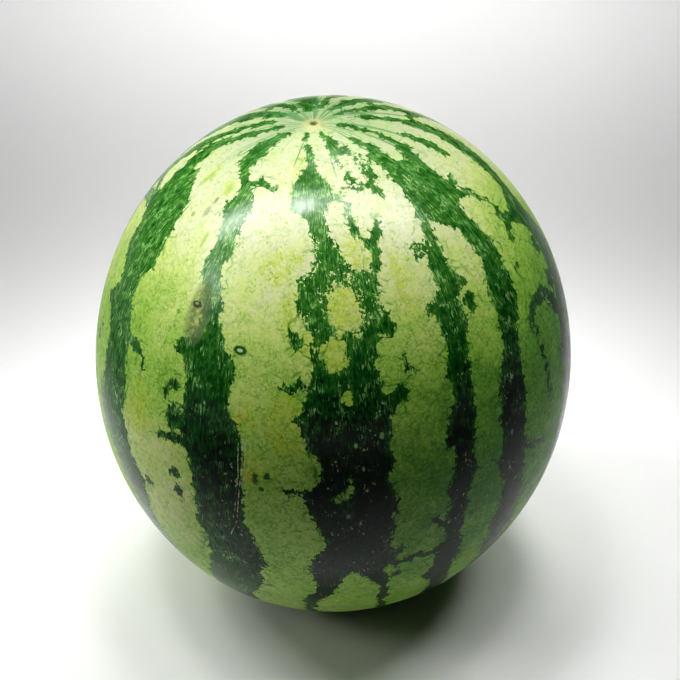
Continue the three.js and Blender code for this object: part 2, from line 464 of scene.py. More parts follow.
@dataclass(frozen=True)
class BackStripes:
    """The stripes away from the front, grown by rule: where their middles are, and how they vary."""

    middles: tuple[float, ...] = (-108, -128, -149, -171, 168, 147, 124)
    widths: tuple[float, ...] = (8, 14, 7, 17, 9, 13, 8)
    first_fall: float = 7.0
    last_fall: float = 169.0
    step: float = 6.0
    fall_stray: float = 1.5
    wander: float = 1.1
    width_stray: float = 0.25
    least_width: float = 3.0
    narrow_width: float = 11.0
    islands: int = 6
    narrow_islands: int = 2
    blots: int = 5
    arms: int = 7
    arm_widths_mm: tuple[float, float, float] = (3.2, 1.8, 0.8)
    seed: int = 41

    def marks(self) -> list["Mark"]:
        """Grows the stripes with their arms, islands and blots.

        Returns:
            The marks, in the order in which they are laid.
        """
        draw = np.random.default_rng(self.seed)
        found: list[Mark] = []
        for number, (middle, width) in enumerate(zip(self.middles, self.widths)):
            falls = np.arange(self.first_fall, self.last_fall, self.step)
            count = len(falls)
            falls = falls + draw.uniform(-self.fall_stray, self.fall_stray, count)
            wander = np.cumsum(draw.normal(0, self.wander, count))
            wander -= np.linspace(wander[0], wander[-1], count)
            left = middle + wander - width / 2 * (1 + self.width_stray * draw.normal(0, 1, count))
            right = middle + wander + width / 2 * (1 + self.width_stray * draw.normal(0, 1, count))
            right = np.maximum(right, left + self.least_width)
            rows = tuple((float(f), float(a), float(b)) for f, a, b in zip(falls, left, right))
            found.append(Course(f"back_{number}", rows))
            found += self._company(draw, middle, width, wander, falls)
        return found

    def _company(self, draw: np.random.Generator, middle: float, width: float, wander: Array,
                 falls: Array) -> list["Mark"]:
        """Grows what goes with one stripe.

        Args:
            draw: the random draws.
            middle: the turn of the stripe's middle.
            width: its width in degrees.
            wander: how far its middle strays at each of the falls.
            falls: the falls of its stations.

        Returns:
            Its light islands, its arms and the blots beside it.
        """
        found: list[Mark] = []
        for _ in range(self.islands if width > self.narrow_width else self.narrow_islands):
            at = int(draw.integers(5, 20))
            size = float(draw.uniform(2.4, 6.0)) * min(width / 14, 1)
            turn = float(middle + wander[at] + draw.uniform(-0.28, 0.28) * width)
            along = size * float(draw.uniform(1.3, 2.6))
            tilt = float(draw.uniform(-14, 14))
            found.append(Patch(turn, float(falls[at]), size * 0.7, along, Tone.LIGHT, tilt))
        for _ in range(self.blots):
            at = int(draw.integers(3, 22))
            side = float(draw.choice((-1, 1)))
            edge = middle + wander[at] + side * width / 2
            size = float(draw.uniform(1.2, 3.6))
            turn = float(edge + side * draw.uniform(-0.5, 1.6))
            along = size * float(draw.uniform(1.0, 2.4))
            tilt = float(draw.uniform(-25, 25))
            found.append(Patch(turn, float(falls[at]), size, along, Tone.DARK, tilt))
        for _ in range(self.arms):
            at = int(draw.integers(2, 22))
            side = float(draw.choice((-1, 1)))
            edge = float(middle + wander[at] + side * width * 0.4)
            fall = float(falls[at])
            reach = float(draw.uniform(4, 10))
            drop = float(draw.uniform(-4, 4))
            bend = (edge + side * reach / 2, fall + drop)
            tip = (edge + side * reach, fall + drop * 1.2)
            found.append(Arm(((edge, fall), bend, tip), self.arm_widths_mm))
        return found


Mark = Course | Arm | Patch


@dataclass(frozen=True)
class RindMap:
    """Which rind is dark and which is light, all round the fruit."""

    front: tuple[Mark, ...] = FRONT_STRIPES + FRONT_ARMS + FRONT_PATCHES
    back: BackStripes = field(default_factory=BackStripes)
    blend_mm: float = 1.2
    deepest_mm: float = 12.0
    # Painted light: the patch where the light rind is made paler in the lower left.
    painted_light_patch: Patch = Patch(-46, 92, 26, 34)

    def dark_depth(self, chart: Chart) -> Array:
        """Lays all marks, the dark ones first and the light ones over them.

        Args:
            chart: the surface points.

        Returns:
            Millimetres from the nearest edge between dark and light, positive in the dark.
        """
        marks = [*self.front, *self.back.marks()]
        depth = np.full(chart.fall.shape, NO_MARK_MM)
        for mark in (m for m in marks if m.tone is Tone.DARK):
            depth = soft_union(depth, mark.depth(chart), self.blend_mm)
        for mark in (m for m in marks if m.tone is Tone.LIGHT):
            depth = -soft_union(-depth, mark.depth(chart), self.blend_mm / 2)
        return np.clip(depth, -self.deepest_mm, self.deepest_mm)

    @staticmethod
    def _within(patches: tuple[Patch, ...], chart: Chart, span_mm: Span) -> Array:
        """How much each point is in one of the patches, from 0 to 1 over a span of depths."""
        return smoothstep(np.maximum.reduce([patch.depth(chart) for patch in patches]), *span_mm)

    def sun(self, chart: Chart) -> Array:
        """How yellow the light rind is at each point, from 0 to 1."""
        return self._within(SUN_PATCHES, chart, (-3.0, 2.5))

    def lace(self, chart: Chart) -> Array:
        """How much light green shows through the dark stripes at each point, from 0 to 1."""
        return self._within(LACE_PATCHES, chart, (-2.0, 3.0))

    def painted_shade(self, chart: Chart) -> Array:
        """How deep a green the light rind is: painted shade, deeper green towards the bottom, on the right
        and on the upper left flank, and painted light, paler on the top and in the lower left.

        Args:
            chart: the surface points.

        Returns:
            0 for cream, 1 for olive, more for moss.
        """
        # Painted light and shade rather than the rind's own colour: cream on the top, greener down the fruit
        # and on the right, paler in the lower left patch.
        falls = (0, 30, 38, 46, 56, 66, 78, 95, 110, 124, 180)
        base = np.interp(chart.fall, falls, (0.0, 0.04, 0.16, 0.34, 0.58, 0.78, 0.85, 0.88, 0.86, 0.8, 0.6))
        more = np.interp(chart.fall, falls, (0, 0, 0, 0.02, 0.16, 0.32, 0.56, 0.70, 0.58, 0.3, 0.2))
        right = window(chart.turn, (-10, 36), (100, 160))
        left = window(-chart.turn, (24, 48), (110, 160)) * window(chart.fall, (34, 46), (66, 84))
        flank = window(chart.turn, (46, 72), (82, 112)) * window(chart.fall, (24, 42), (62, 96))
        pale = smoothstep(self.painted_light_patch.depth(chart), -14, 10)
        return base + more * right + 0.19 * left + 0.34 * flank - 0.42 * pale

    def stripe_painted_shade(self, chart: Chart) -> Array:
        """How near to black the dark rind is: painted shade, blacker towards the bottom, and painted light,
        paler on the left.

        Args:
            chart: the surface points.

        Returns:
            Shares from 0 to 1.
        """
        falls = (0, 44, 54, 65, 75, 85, 104, 125, 180)
        # Painted shade down the fruit, lightened by painted light on the left side.
        deep = np.interp(chart.fall, falls, (0, 0.06, 0.28, 0.54, 0.86, 1, 1, 0.85, 0.7))
        left = smoothstep(-chart.turn, 12, 30) * (0.5 + 0.5 * smoothstep(chart.fall, 84, 106))
        far_left = 1.4 * window(-chart.turn, (46, 60), (110, 150))
        return deep * (1 - 0.5 * np.maximum(left, far_left))


class NodeBench:
    """Short calls for laying and linking the nodes of one material."""

    def __init__(self, material: bpy.types.Material | bpy.types.World) -> None:
        """Takes a material or a world and clears its tree.

        Args:
            material: what to fill.
        """
        material.use_nodes = True
        self.tree = material.node_tree
        self.tree.nodes.clear()

    def node(self, kind: str, inputs: dict | None = None, **settings: object) -> bpy.types.Node:
        """Adds a node.

        Args:
            kind: the node's type, without its ShaderNode prefix.
            inputs: values or output sockets, by input name or number.
            settings: the node's own properties.

        Returns:
            The node.
        """
        made = self.tree.nodes.new("ShaderNode" + kind)
        for name, value in settings.items():
            setattr(made, name, value)
        for key, value in (inputs or {}).items():
            socket = made.inputs[key]
            if isinstance(value, Socket):
                self.tree.links.new(value, socket)
            else:
                socket.default_value = value
        return made

    def math(self, operation: str, *values: object, clamp: bool = False) -> Socket:
        """One step of arithmetic on sockets and numbers."""
        made = self.node("Math", dict(enumerate(values)), operation=operation, use_clamp=clamp)
        return made.outputs[0]

    def ramp(self, value: object, low: float, high: float, start: float = 0.0, end: float = 1.0,
             smooth: bool = True) -> Socket:
        """Maps a value from low..high to start..end, and holds it there outside."""
        made = self.node("MapRange", {"Value": value, "From Min": low, "From Max": high, "To Min": start,
                                      "To Max": end}, interpolation_type="SMOOTHSTEP" if smooth else "LINEAR")
        return made.outputs[0]

    def blend(self, share: object, first: object, second: object, kind: str = "MIX") -> Socket:
        """Mixes two colours.

        Args:
            share: how much of the second there is.
            first: a socket, a Pigment, a Tint or a triple.
            second: the same.
            kind: how they are mixed.

        Returns:
            The mixed colour.
        """
        made = self.node("Mix", {0: share}, data_type="RGBA", blend_type=kind)
        for index, value in ((6, first), (7, second)):
            if isinstance(value, Socket):
                self.tree.links.new(value, made.inputs[index])
            else:
                colour = value.value if isinstance(value, Enum) else value
                made.inputs[index].default_value = (*colour, 1.0)
        return made.outputs[2]

    def scaled(self, vector: Socket, scale: tuple[float, float, float]) -> Socket:
        """A vector times three numbers."""
        return self.node("VectorMath", {0: vector, 1: scale}, operation="MULTIPLY").outputs[0]

    def moved(self, vector: Socket, offset: object) -> Socket:
        """A vector plus another."""
        return self.node("VectorMath", {0: vector, 1: offset}, operation="ADD").outputs[0]

    def noise(self, vector: Socket, size: float, detail: float = 2.0, roughness: float = 0.5,
              output: str = "Fac") -> Socket:
        """Soft noise whose lumps are about size units of the vector across."""
        return self.node("TexNoise", {"Vector": vector, "Scale": 1 / size, "Detail": detail,
                                      "Roughness": roughness}).outputs[output]

    def ripple(self, vector: Socket, size: float, detail: float = 2.0,
               roughness: float = 0.5) -> Socket:
        """The same noise, about zero."""
        return self.math("SUBTRACT", self.noise(vector, size, detail, roughness), 0.5)

    def cells(self, vector: Socket, size: float, feature: str = "DISTANCE_TO_EDGE") -> Socket:
        """Cells about size units across: the distance to their edges, or to their middles."""
        made = self.node("TexVoronoi", {"Vector": vector, "Scale": 1 / size}, feature=feature)
        return made.outputs["Distance"]

    def chart(self, name: str) -> Socket:
        """Reads one of the mesh's own values."""
        return self.node("Attribute", attribute_name=name).outputs["Fac"]

    def stirred(self, vector: Socket, size: float, reach: float) -> Socket:
        """A vector pushed about by soft noise, by up to half of reach each way."""
        push = self.moved(self.noise(vector, size, 1.5, output="Color"), (-0.5, -0.5, -0.5))
        return self.moved(vector, self.scaled(push, (reach, reach, reach)))

    def distance(self, point: object, first: Colour, second: Colour) -> Socket:
        """The distance from a point to the straight line between two others.

        Args:
            point: the point's socket.
            first: the line's start.
            second: its end.

        Returns:
            The distance.
        """
        run = Vector(second) - Vector(first)
        off = self.moved(point, tuple(-value for value in first))
        along = self.node("VectorMath", {0: off, 1: tuple(run)}, operation="DOT_PRODUCT").outputs["Value"]
        share = self.math("MULTIPLY", along, 1 / run.length_squared, clamp=True)
        foot = self.node("VectorMath", {0: tuple(run), "Scale": share}, operation="SCALE").outputs[0]
        return self.node("VectorMath", {0: off, 1: foot}, operation="DISTANCE").outputs["Value"]


@dataclass(frozen=True)
class RindFinish:
    """The waxy rind: dark and light bands with lobed edges, veins, flecks, marks and both scars."""

    name: str = "waxy_striped_rind"
    lobe_mm: float = 6.0
    lobe_reach_mm: float = 2.0
    jag_mm: float = 0.8
    seam_cell_mm: float = 15.0
    vein_cell_mm: float = 4.8
    wax_roughness: float = 0.34
    stripe_roughness: float = 0.20
    dry_roughness: float = 0.35
    specular_level: float = 0.42
    refraction: float = 1.45
    bump_strength: float = 0.35
    bump_height: float = 0.0003

    def material(self) -> bpy.types.Material:
        """Builds the material.

        Returns:
            The material, which reads the mesh's own attributes.
        """
        made = bpy.data.materials.new(self.name)
        bench = NodeBench(made)
        place = bench.scaled(bench.node("TexCoord").outputs["Object"], (1000, 1000, 1000))
        growth = bench.node("Attribute", attribute_name="growth_chart").outputs["Vector"]
        arc = bench.node("SeparateXYZ", {0: growth}).outputs[2]

        edge, fine_edge = self._ragged_edge(bench, place, growth)
        dark_share = bench.ramp(fine_edge, -0.35, 0.35)
        light = self._light_rind(bench, place, edge)
        dark = self._dark_rind(bench, place, growth, fine_edge)
        colour = bench.blend(dark_share, light, dark)
        colour = self._crown(bench, colour, growth, arc)
        colour = self._worn(bench, colour, place)
        colour = self._small_marks(bench, colour, growth)
        colour, dry = self._scars(bench, colour, growth, arc)
        self._surface(bench, colour, place, growth, dry, dark_share)
        return made

    def _ragged_edge(self, bench: NodeBench, place: Socket, growth: Socket) -> tuple[Socket, Socket]:
        """Gives the stripes' edges their rounded light lobes, dark cusps and small jags.

        Args:
            bench: the node bench.
            place: the surface point in millimetres.
            growth: the growth chart.

        Returns:
            The depth into the dark with its lobes, and the same with its jags.
        """
        swayed = bench.stirred(place, 6.0, 5.0)
        lobe = bench.math("SUBTRACT", bench.cells(swayed, self.lobe_mm, "F1"), 0.50)
        lobed = bench.math("MULTIPLY_ADD", lobe, self.lobe_reach_mm, bench.chart("dark_depth"))
        cusp = bench.ramp(bench.cells(swayed, self.lobe_mm), 0.0, 0.14, 1.0, 0.0)
        fine = bench.math("ADD", cusp, lobed)
        coarse = bench.ripple(place, 2.2, 3.0, 0.7)
        fine = bench.math("MULTIPLY_ADD", coarse, self.jag_mm * 5.0, fine)
        strand = bench.ripple(bench.scaled(growth, (1.1, 1.1, 0.34)), 1.0, 1.0)
        fine = bench.math("MULTIPLY_ADD", strand, self.jag_mm * 3.0, fine)
        lace = bench.ramp(bench.noise(place, 1.6, 2.5, 0.65), 0.48, 0.64, 0.0, -4.0)
        return lobed, bench.math("MULTIPLY_ADD", bench.chart("lace"), lace, fine)

    def _light_rind(self, bench: NodeBench, place: Socket, edge: Socket) -> Socket:
        """The light bands: cream on the top to deep green below and on the right, which is painted light and
        shade, with yellow patches, a fine net of veins and specks.

        Args:
            bench: the node bench.
            place: the surface point in millimetres.
            edge: the depth into the dark, negative here.

        Returns:
            The colour.
        """
        painted_shade = bench.chart("painted_shade")
        sun = bench.chart("sun")
        # Painted light and shade: the painted shade chart takes the light rind from cream on the top through
        # olive to moss below, with random tone added.
        shade = bench.math("ADD", bench.ripple(place, 15.0, 3.0, 0.6), painted_shade)
        shade = bench.math("MULTIPLY_ADD", bench.ripple(place, 1.5, 3.0, 0.65), 1.15, shade)
        colour = bench.blend(bench.ramp(shade, 0.0, 0.45, smooth=False), Pigment.CREAM, Pigment.PALE)
        colour = bench.blend(bench.ramp(shade, 0.45, 0.95, smooth=False), colour, Pigment.OLIVE)
        colour = bench.blend(bench.ramp(shade, 0.95, 1.55, smooth=False), colour, Pigment.MOSS)
        warm = bench.ramp(bench.noise(place, 2.2, 3.0, 0.7), 0.40, 0.62, 0.05, 0.8)
        colour = bench.blend(bench.math("MULTIPLY", sun, warm), colour, Pigment.SUN)

        # The vein net and the seams darken more where the painted shade is deeper.
        low = bench.ramp(painted_shade, 0.10, 0.9, 0.40, 1.0)
        near = bench.ramp(edge, -8.0, -0.8, 0.25, 1.0)
        seam = bench.cells(bench.stirred(place, 5.0, 3.6), self.seam_cell_mm)
        seam = bench.ramp(seam, 0.0, 0.045, 1.0, 0.0)
        seam = bench.math("MULTIPLY", seam, bench.ramp(bench.noise(place, 4.0, 2.0), 0.44, 0.60, 0.05, 1.0))
        seam = bench.math("MULTIPLY", seam, bench.ramp(near, 0.25, 1.0, 0.30, 1.0))
        seam = bench.math("MULTIPLY", seam, bench.ramp(painted_shade, 0.0, 0.8, 0.5, 1.0))
        colour = bench.blend(seam, colour, Tint.SEAM, "MULTIPLY")

        net_place = bench.stirred(place, 2.6, 4.2)
        wide_net = bench.ramp(bench.cells(net_place, self.vein_cell_mm), 0.0, 0.10, 1.0, 0.0)
        close_net = bench.ramp(bench.cells(net_place, self.vein_cell_mm * 0.42), 0.0, 0.18, 0.75, 0.0)
        broken = bench.ramp(bench.noise(place, 5.0, 2.0), 0.42, 0.58, 0.12, 0.9)
        vein = bench.math("MULTIPLY", bench.math("MULTIPLY", wide_net, near), broken)
        close = bench.math("MULTIPLY", close_net, bench.ramp(bench.noise(place, 3.6, 2.0), 0.42, 0.60))
        vein = bench.math("MULTIPLY", bench.math("MAXIMUM", vein, close), low)
        colour = bench.blend(vein, colour, Tint.NET, "MULTIPLY")

        speck = bench.ramp(bench.noise(bench.scaled(place, (1.0, 1.0, 0.55)), 1.15, 1.5, 0.6), 0.56, 0.64)
        crowd = bench.math("MULTIPLY_ADD", sun, 0.06, bench.noise(place, 6.0, 1.5))
        speck = bench.math("MULTIPLY", speck, bench.ramp(crowd, 0.50, 0.62, 0.04, 0.75))
        return bench.blend(speck, colour, Pigment.SAP)

    def _dark_rind(self, bench: NodeBench, place: Socket, growth: Socket, edge: Socket) -> Socket:
        """The dark stripes: leaf green on top and near black below, which is painted light and shade, with
        strokes and flecks along the growth.

        Args:
            bench: the node bench.
            place: the surface point in millimetres.
            growth: the growth chart.
            edge: the depth into the dark.

        Returns:
            The colour.
        """
        stripe_painted_shade = bench.chart("stripe_painted_shade")
        mottle = bench.ripple(place, 3.4, 3.0, 0.65)
        stroke = bench.ripple(bench.scaled(growth, (0.75, 0.75, 0.17)), 1.0, 2.5, 0.65)
        # Painted shade: the stripe goes from leaf green towards near black as the stripe painted shade chart
        # rises, most deep inside the stripe.
        inward = bench.math("MULTIPLY", stripe_painted_shade, bench.ramp(edge, 0.0, 3.5, 0.55, 1.0))
        shade = bench.math("MULTIPLY_ADD", mottle, 1.3, bench.math("ADD", inward, 0.14))
        shade = bench.math("MULTIPLY_ADD", stroke, 1.5, shade)
        colour = bench.blend(bench.ramp(shade, -0.25, 0.04, smooth=False), Pigment.STREAK, Pigment.LEAF)
        colour = bench.blend(bench.ramp(shade, 0.0, 0.5, smooth=False), colour, Pigment.FOREST)
        colour = bench.blend(bench.ramp(shade, 0.5, 1.0, smooth=False), colour, Pigment.NIGHT)
        thin = bench.noise(bench.scaled(growth, (1.5, 1.5, 0.30)), 1.0, 1.5, 0.6)
        crowd = bench.ramp(bench.noise(place, 7.0, 2.0, 0.6), 0.40, 0.66, -0.10, 0.07)
        pale = bench.ramp(bench.math("ADD", thin, crowd), 0.54, 0.70, 0.0, 0.8)
        # The pale strokes fade where the painted shade is deep.
        pale = bench.math("MULTIPLY", pale, bench.ramp(stripe_painted_shade, 0.2, 1.0, 1.0, 0.12))
        colour = bench.blend(pale, colour, Pigment.STREAK)
        nick = bench.noise(bench.scaled(bench.stirred(place, 3.0, 2.0), (1.0, 1.0, 0.5)), 1.3, 1.0, 0.5)
        nick = bench.ramp(bench.math("ADD", nick, crowd), 0.665, 0.76, 0.0, 0.55)
        return bench.blend(nick, colour, Pigment.FLECK)

    def _crown(self, bench: NodeBench, colour: Socket, growth: Socket, arc: Socket) -> Socket:
        """The many fine rays that run together at the blossom scar.

        Args:
            bench: the node bench.
            colour: the rind so far.
            growth: the growth chart.
            arc: millimetres from the blossom scar.

        Returns:
            The colour.
        """
        rays = bench.noise(bench.scaled(growth, (0.055, 0.055, 0.022)), 1.0, 2.0, 0.6)
        fine = bench.noise(bench.scaled(growth, (0.13, 0.13, 0.02)), 1.0, 2.0, 0.65)
        rays = bench.math("MULTIPLY_ADD", fine, 0.75, bench.math("MULTIPLY", rays, 0.25))
        held = bench.ramp(arc, 3.0, 54.0, -0.015, -0.12, smooth=False)
        front = bench.node("SeparateXYZ", {0: growth}).outputs[0]
        held = bench.math("MULTIPLY_ADD", front, -0.0005, held)
        veil = bench.ramp(arc, 6.0, 72.0, 0.85, 0.0)
        veil = bench.math("MULTIPLY", veil, bench.ramp(front, 30.0, 108.0, 1.0, 0.4))
        colour = bench.blend(veil, colour, Tint.CROWN, "MULTIPLY")
        ray = bench.ramp(bench.math("ADD", rays, held), 0.49, 0.54, 0.0, 0.8)
        ray = bench.math("MULTIPLY", ray, bench.ramp(arc, 46.0, 78.0, 1.0, 0.0))
        return bench.blend(ray, colour, Pigment.SKY)

    def _worn(self, bench: NodeBench, colour: Socket, place: Socket) -> Socket:
        """The rubbed, corky patch, a thin tan veil over what lies under it."""
        veil = bench.ramp(bench.noise(place, 2.6, 3.0, 0.65), 0.32, 0.64, 0.25, 0.92)
        return bench.blend(bench.math("MULTIPLY", bench.chart("cork"), veil), colour, Pigment.CORK)

    def _spot(self, bench: NodeBench, growth: Socket, spot: Spot) -> Socket:
        """The reach of an oval spot.

        Args:
            bench: the node bench.
            growth: the growth chart.
            spot: the spot.

        Returns:
            1 on its edge, less inside it.
        """
        x, y, z = chart_point(spot.turn, spot.fall)
        off = bench.moved(growth, (-x, -y, -z))
        wide = math.sin(math.radians(spot.fall)) / spot.across_mm
        off = bench.scaled(off, (wide, wide, 1 / spot.along_mm))
        return bench.node("VectorMath", {0: off}, operation="LENGTH").outputs["Value"]

    def _small_marks(self, bench: NodeBench, colour: Socket, growth: Socket) -> Socket:
        """The small blemishes: spots and rings, and a bundle of thin scratches.

        Args:
            bench: the node bench.
            colour: the rind so far.
            growth: the growth chart.

        Returns:
            The colour.
        """
        rough = bench.ripple(growth, 1.1, 2.0, 0.6)
        for spot in SPOTS:
            reach = bench.math("MULTIPLY_ADD", rough, spot.rough, self._spot(bench, growth, spot))
            inside = bench.ramp(reach, 1.0 - spot.soft, 1.0 + spot.soft, spot.share, 0.0)
            colour = bench.blend(inside, colour, spot.pigment)
        gap = bench.ramp(bench.noise(bench.scaled(growth, (0.8, 0.8, 0.4)), 1.0, 2.0), 0.40, 0.56, 0.05, 0.9)
        growth = bench.stirred(growth, 2.5, 0.9)
        for scratch in SCRATCHES:
            for first, second in zip(scratch.points, scratch.points[1:]):
                apart = bench.distance(growth, chart_point(*first), chart_point(*second))
                line = bench.ramp(apart, scratch.width_mm * 0.35, scratch.width_mm * 0.75, 1.0, 0.0)
                colour = bench.blend(bench.math("MULTIPLY", line, gap), colour, scratch.pigment)
        return colour

    def _scars(self, bench: NodeBench, colour: Socket, growth: Socket, arc: Socket) -> tuple[Socket, Socket]:
        """The blossom scar on top and the stem scar below.

        Args:
            bench: the node bench.
            colour: the rind so far.
            growth: the growth chart.
            arc: millimetres from the blossom scar.

        Returns:
            The colour and how dry the skin is.
        """
        uneven = bench.ripple(bench.scaled(growth, (0.05, 0.05, 0.3)), 1.0)
        blossom = bench.math("MULTIPLY_ADD", uneven, 3.0, arc)
        halo = bench.ramp(blossom, 2.0, 7.0, 0.6, 0.0)
        colour = bench.blend(halo, colour, Pigment.STRAW)
        pit = bench.ramp(blossom, 0.8, 2.4, 0.85, 0.0)
        colour = bench.blend(pit, colour, Pigment.BRUISE)
        stem = bench.math("MULTIPLY_ADD", uneven, 3.0, bench.math("SUBTRACT", FULL_ARC_MM, arc))
        stub = bench.ramp(stem, 5.0, 8.5, 1.0, 0.0)
        colour = bench.blend(stub, colour, Pigment.STRAW)
        dry = bench.math("MAXIMUM", halo, stub)
        return colour, dry

    def _surface(self, bench: NodeBench, colour: Socket, place: Socket, growth: Socket, dry: Socket,
                 dark_share: Socket) -> None:
        """The waxy gloss, smoother on the dark stripes, with its fine relief.

        Args:
            bench: the node bench.
            colour: the finished colour.
            place: the surface point in millimetres.
            growth: the growth chart.
            dry: where the skin is a scar.
            dark_share: where the skin is a dark stripe.
        """
        rub = bench.ramp(bench.noise(place, 7.0, 4.0, 0.6), 0.3, 0.7, self.wax_roughness - 0.04,
                         self.wax_roughness + 0.06)
        rub = bench.math("MULTIPLY_ADD", dark_share, self.stripe_roughness - self.wax_roughness, rub)
        worn = bench.math("MAXIMUM", bench.chart("cork"), dry)
        rough = bench.math("MULTIPLY_ADD", worn, self.dry_roughness, rub)
        grain = bench.noise(place, 0.9, 2.0, 0.6)
        swell = bench.noise(bench.scaled(growth, (0.22, 0.22, 0.12)), 1.0, 2.0)
        height = bench.math("MULTIPLY_ADD", swell, 0.9, bench.math("MULTIPLY", grain, 0.12))
        bump = bench.node("Bump", {"Height": height, "Strength": self.bump_strength,
                                   "Distance": self.bump_height})
        shader = bench.node("BsdfPrincipled", {"Base Color": colour, "Roughness": rough,
                                               "Normal": bump.outputs[0]})
        shader.inputs["Specular IOR Level"].default_value = self.specular_level
        shader.inputs["IOR"].default_value = self.refraction
        bench.node("OutputMaterial", {"Surface": shader.outputs[0]})


@dataclass(frozen=True)
class Wave:
    """A low wave round the fruit."""

    lobes: int
    height_mm: float
    phase: float


@dataclass
class MelonBody:
    """The fruit's fine surface, with the sizes of its solid."""

    equator_mm: float = 112.0
    pole_mm: float = 125.7
    lean: float = 3.8
    press_mm: float = 4.5
    rim_mm: float = 1.0
    waves: tuple[Wave, ...] = (Wave(2, 0.35, 0.6), Wave(3, 0.30, 2.1), Wave(10, 0.14, 0.3))
    blossom_dip_mm: tuple[float, float] = (17.0, 1.5)
    blossom_ring_mm: tuple[float, float, float] = (2.6, 0.5, 1.3)
    stem_dip_mm: tuple[float, float] = (13.5, 4.6)
    stem_stub_mm: tuple[float, float, float] = (4.2, 2.0, 1.4)
    columns: int = 400
    rows: int = 244
    row_shares: tuple[float, ...] = (0.0, 0.76, 0.90, 1.0)
    row_falls: tuple[float, ...] = (0.0, 112.0, 160.0, 180.0)
    crowding: float = 0.4
    cork_patch: Patch = Patch(-35.4, 49.4, 5.0, 13.0)

    @staticmethod
    def _dip(distance: Array, radius: float) -> Array:
        """The sunk share of a round dip: 1 in its middle, 0 at its rim."""
        return (1 - np.minimum(distance / radius, 1) ** 2) ** 2

    def _pressed(self, height: Array) -> Array:
        """A height with everything below the ground pressed flat, and the flat's rim rounded."""
        rounded = (height + self.rim_mm) ** 2 / (4 * self.rim_mm)
        return np.where(height <= -self.rim_mm, 0, np.where(height >= self.rim_mm, height, rounded))

    def surface(self, fall: Array, turn: Array) -> Array:
        """The points of the surface.

        Args:
            fall: angles from the blossom scar, in radians.
            turn: angles round the growth axis, in radians.

        Returns:
            The points in millimetres, one row each.
        """
        lean = math.radians(self.lean)
        x = np.sin(fall) * np.sin(turn)
        y = -np.sin(fall) * np.cos(turn)
        z = np.cos(fall)
        x, z = x * math.cos(lean) - z * math.sin(lean), x * math.sin(lean) + z * math.cos(lean)
        radius = 1 / np.hypot(np.hypot(x, y) / self.equator_mm, z / self.pole_mm)
        wave = sum(w.height_mm * np.cos(w.lobes * turn + w.phase) for w in self.waves)
        radius = radius + wave * np.sin(fall) ** 2
        from_axis = radius * np.sin(fall)
        upper = fall < math.pi / 2
        ring_at, ring_high, ring_wide = self.blossom_ring_mm
        ring = ring_high * np.exp(-(((from_axis - ring_at) / ring_wide) ** 2))
        sink = self.blossom_dip_mm[1] * self._dip(from_axis, self.blossom_dip_mm[0]) - ring
        stub_at, stub_high, stub_edge = self.stem_stub_mm
        stub = stub_high * smoothstep(stub_at + stub_edge - from_axis, 0, stub_edge)
        hollow = self.stem_dip_mm[1] * self._dip(from_axis, self.stem_dip_mm[0]) - stub
        reach = radius - np.where(upper, sink, 0)
        z = self._pressed(z * reach + self.pole_mm - self.press_mm) + np.where(upper, 0, hollow)
        return np.stack([x * reach, y * reach, z], axis=1)

    def build(self) -> bpy.types.Object:
        """Builds the closed mesh and its attributes.

        Returns:
            The fruit's object.
        """
        along = np.arange(self.rows + 1) / self.rows
        falls = np.radians(np.interp(along, self.row_shares, self.row_falls))
        round_it = np.arange(self.columns) / self.columns * 2 * math.pi - math.pi
        turns = round_it - self.crowding * np.sin(round_it)
        fall_grid, turn_grid = np.meshgrid(falls[1:-1], turns, indexing="ij")
        fall = np.concatenate([[0.0], fall_grid.ravel(), [math.pi]])
        turn = np.concatenate([[0.0], turn_grid.ravel(), [0.0]])
        points = self.surface(fall, turn)
        mesh = bpy.data.meshes.new("rind")
        mesh.from_pydata((points * MM).tolist(), [], self._faces())
        mesh.polygons.foreach_set("use_smooth", np.ones(len(mesh.polygons), bool))
        self._chart(mesh, fall, turn)
        mesh.update()
        made = bpy.data.objects.new("rind", mesh)
        bpy.context.scene.collection.objects.link(made)
        return made

    def _faces(self) -> list[tuple[int, ...]]:
        """The grid's faces.

        Returns:
            Quads, with a fan of triangles at each end.
        """
        n = self.columns
        last = n * (self.rows - 1) + 1
        faces: list[tuple[int, ...]] = []
        for c in range(n):
            d = (c + 1) % n
            faces.append((0, 1 + c, 1 + d))
            for r in range(self.rows - 2):
                top = 1 + r * n
                low = top + n
                faces.append((top + c, low + c, low + d, top + d))
            faces.append((last, last - n + d, last - n + c))
        return faces

    def _chart(self, mesh: bpy.types.Mesh, fall: Array, turn: Array) -> None:
        """Writes what the finish reads to the mesh's vertices.

        Args:
            mesh: the fruit's mesh.
            fall: each vertex's angle from the blossom scar, in radians.
            turn: each vertex's angle round the growth axis, in radians.
        """
        chart = Chart(np.degrees(fall), np.degrees(turn))
        rind_map = RindMap()
        marks = {
            "dark_depth": rind_map.dark_depth(chart),
            "sun": rind_map.sun(chart),
            "lace": rind_map.lace(chart),
            # The next two charts are painted light and shade for the light rind and the dark stripes.
            "painted_shade": rind_map.painted_shade(chart),
            "stripe_painted_shade": rind_map.stripe_painted_shade(chart),
            "cork": smoothstep(self.cork_patch.depth(chart), -1.6, 1.6),
        }
        for name, values in marks.items():
            attribute = mesh.attributes.new(name, "FLOAT", "POINT")
            attribute.data.foreach_set("value", values.astype(np.float32))
        growth = np.stack([CHART_RADIUS_MM * np.cos(turn), CHART_RADIUS_MM * np.sin(turn),
                           fall / math.pi * FULL_ARC_MM], axis=1)
        attribute = mesh.attributes.new("growth_chart", "FLOAT_VECTOR", "POINT")
        attribute.data.foreach_set("vector", growth.astype(np.float32).ravel())

